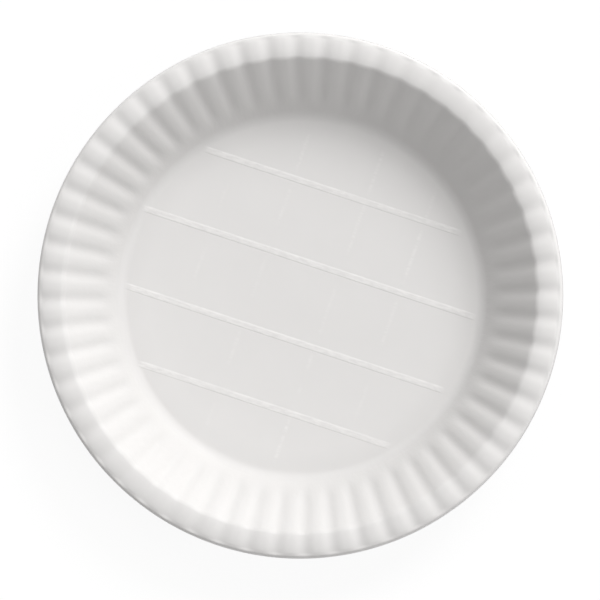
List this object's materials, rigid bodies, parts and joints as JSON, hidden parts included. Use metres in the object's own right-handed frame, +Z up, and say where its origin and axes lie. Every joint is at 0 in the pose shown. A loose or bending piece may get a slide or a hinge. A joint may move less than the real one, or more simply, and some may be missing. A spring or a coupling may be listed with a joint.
{
  "type": "plastic plate",
  "caption": "Round disposable dinner plate pressed from one thin sheet, with a flat ribbed floor, a fluted sloping wall and a fluted rim with a turned-down edge.",
  "frame": {"origin": "centre of the underside of the floor, which is the face the plate stands on", "axes": "+Z up out of the dish, +X along the ribs on the floor"},
  "size_m": [0.23, 0.23, 0.024],
  "materials": {
    "white_plastic": "smooth satin white plastic"
  },
  "bodies": {
    "root": {"plate": "white_plastic"}
  },
  "joints": []
}
